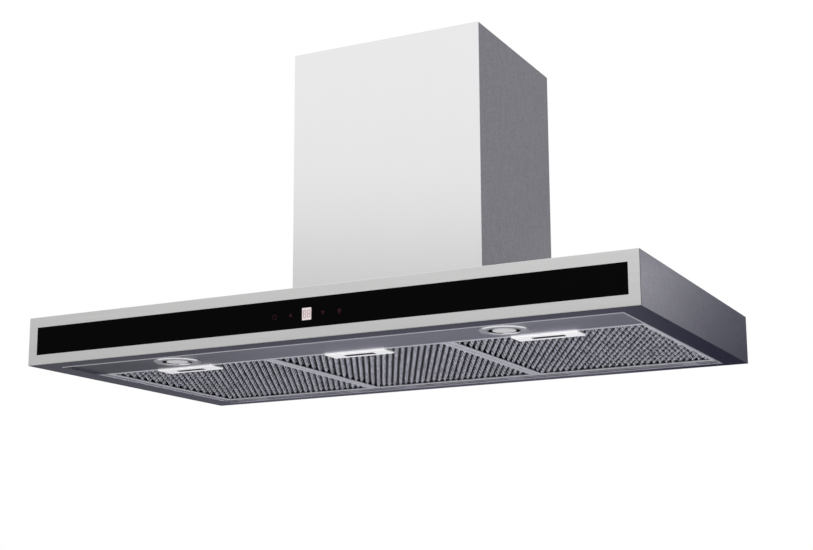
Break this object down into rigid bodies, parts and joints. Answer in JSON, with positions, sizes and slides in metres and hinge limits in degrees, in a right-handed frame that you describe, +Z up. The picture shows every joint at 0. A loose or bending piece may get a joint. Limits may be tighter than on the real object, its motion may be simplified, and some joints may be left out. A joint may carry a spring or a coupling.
{
  "type": "chimney range hood",
  "caption": "Wall-mounted T-shaped chimney range hood: flat brushed-steel canopy, black touch-glass front strip, hinged mesh grease filters, lamps, telescopic cover, blower and duct collar.",
  "frame": {"origin": "middle of the canopy's bottom edge on the wall plane", "axes": "+X to the hood's right seen from the front, +Y into the wall, +Z up; the front faces -Y"},
  "size_m": [0.9, 0.48, 0.48],
  "materials": {
    "canopy_steel": "fine brushed stainless sheet",
    "front_steel": "fine brushed stainless sheet",
    "chimney_steel": "fine brushed stainless sheet",
    "control_glass": "black back-painted float glass, polished",
    "control_plastic": "moulded, fine grain",
    "circuit_board": "solder mask",
    "display": "lit segment display",
    "touch_pad": "conductive foam",
    "lamp_chrome": "polished",
    "lamp_lens": "frosted",
    "lamp_reflector": "spun, bright",
    "lamp_bulb": "clear capsule",
    "zinc_sheet": "galvanised sheet",
    "motor_casing": "pressed steel, lacquered",
    "rubber": "moulded",
    "capacitor_can": "moulded can",
    "black_nylon": "moulded, fine grain",
    "bright_steel": "zinc plated",
    "filter_frame": "satin",
    "filter_mesh": "expanded mesh layers",
    "filter_handle": "bright satin"
  },
  "bodies": {
    "hood": {"canopy_shell": "canopy_steel", "light_panel": "canopy_steel", "front_fascia": "front_steel", "lower_chimney": "chimney_steel", "control_glass": "control_glass", "control_housing": "control_plastic", "power_box": "control_plastic", "power_box_lid": "control_plastic", "lamp_driver": "control_plastic", "control_board": "circuit_board", "display_module": "display", "touch_pads": "touch_pad", "lamp_left_bezel": "lamp_chrome", "lamp_right_bezel": "lamp_chrome", "lamp_left_lens": "lamp_lens", "lamp_right_lens": "lamp_lens", "lamp_left_can": "lamp_reflector", "lamp_right_can": "lamp_reflector", "lamp_left_bulb": "lamp_bulb", "lamp_right_bulb": "lamp_bulb", "rear_rail": "zinc_sheet", "blower_chassis": "zinc_sheet", "chassis_cover": "zinc_sheet", "scroll_wrap": "zinc_sheet", "scroll_left_plate": "zinc_sheet", "scroll_right_plate": "zinc_sheet", "motor_bracket": "zinc_sheet", "chimney_rests": "zinc_sheet", "motor_body": "motor_casing", "motor_end_cap": "motor_casing", "motor_mounts": "rubber", "capacitor": "capacitor_can", "cable_gland": "black_nylon", "outlet_collar": "black_nylon", "damper_pin": "bright_steel", "roof_screws": "bright_steel", "blower_screws": "bright_steel", "cover_screws": "bright_steel"},
    "impeller": {"impeller_wheel": "black_nylon", "motor_shaft": "bright_steel", "impeller_nut": "bright_steel"},
    "damper_left": {"damper_left_flap": "black_nylon"},
    "damper_right": {"damper_right_flap": "black_nylon"},
    "upper_cover": {"upper_chimney": "chimney_steel", "chimney_bracket": "zinc_sheet"},
    "filter_left": {"filter_left_frame": "filter_frame", "filter_left_mesh": "filter_mesh", "filter_left_handle": "filter_handle", "latch_left_spring": "bright_steel"},
    "latch_left": {"latch_left_slider": "black_nylon"},
    "filter_middle": {"filter_middle_frame": "filter_frame", "filter_middle_mesh": "filter_mesh", "filter_middle_handle": "filter_handle", "latch_middle_spring": "bright_steel"},
    "latch_middle": {"latch_middle_slider": "black_nylon"},
    "filter_right": {"filter_right_frame": "filter_frame", "filter_right_mesh": "filter_mesh", "filter_right_handle": "filter_handle", "latch_right_spring": "bright_steel"},
    "latch_right": {"latch_right_slider": "black_nylon"}
  },
  "joints": [
    {"name": "upper_cover_slide", "type": "slide", "parent": "hood", "child": "upper_cover", "axis": [0, 0, 1], "range_m": [0, 0.33]},
    {"name": "impeller_spin", "type": "hinge", "parent": "hood", "child": "impeller", "pos_m": [0, -0.156, 0.2288], "axis": [1, 0, 0], "continuous": true},
    {"name": "damper_left_hinge", "type": "hinge", "parent": "hood", "child": "damper_left", "pos_m": [0, -0.104, 0.404], "axis": [0, 1, 0], "range_deg": [0, 75]},
    {"name": "damper_right_hinge", "type": "hinge", "parent": "hood", "child": "damper_right", "pos_m": [0, -0.104, 0.404], "axis": [0, -1, 0], "range_deg": [0, 75]},
    {"name": "filter_left_hinge", "type": "hinge", "parent": "hood", "child": "filter_left", "pos_m": [0, -0.0238, 0.008], "axis": [1, 0, 0], "range_deg": [0, 70]},
    {"name": "latch_left_slide", "type": "slide", "parent": "filter_left", "child": "latch_left", "axis": [0, 1, 0], "range_m": [0, 0.005], "stiffness_N_per_m": 300, "springref_m": -0.003, "deforming": ["latch_left_spring"]},
    {"name": "filter_middle_hinge", "type": "hinge", "parent": "hood", "child": "filter_middle", "pos_m": [0, -0.0238, 0.008], "axis": [1, 0, 0], "range_deg": [0, 70]},
    {"name": "latch_middle_slide", "type": "slide", "parent": "filter_middle", "child": "latch_middle", "axis": [0, 1, 0], "range_m": [0, 0.005], "stiffness_N_per_m": 300, "springref_m": -0.003, "deforming": ["latch_middle_spring"]},
    {"name": "filter_right_hinge", "type": "hinge", "parent": "hood", "child": "filter_right", "pos_m": [0, -0.0238, 0.008], "axis": [1, 0, 0], "range_deg": [0, 70]},
    {"name": "latch_right_slide", "type": "slide", "parent": "filter_right", "child": "latch_right", "axis": [0, 1, 0], "range_m": [0, 0.005], "stiffness_N_per_m": 300, "springref_m": -0.003, "deforming": ["latch_right_spring"]}
  ]
}
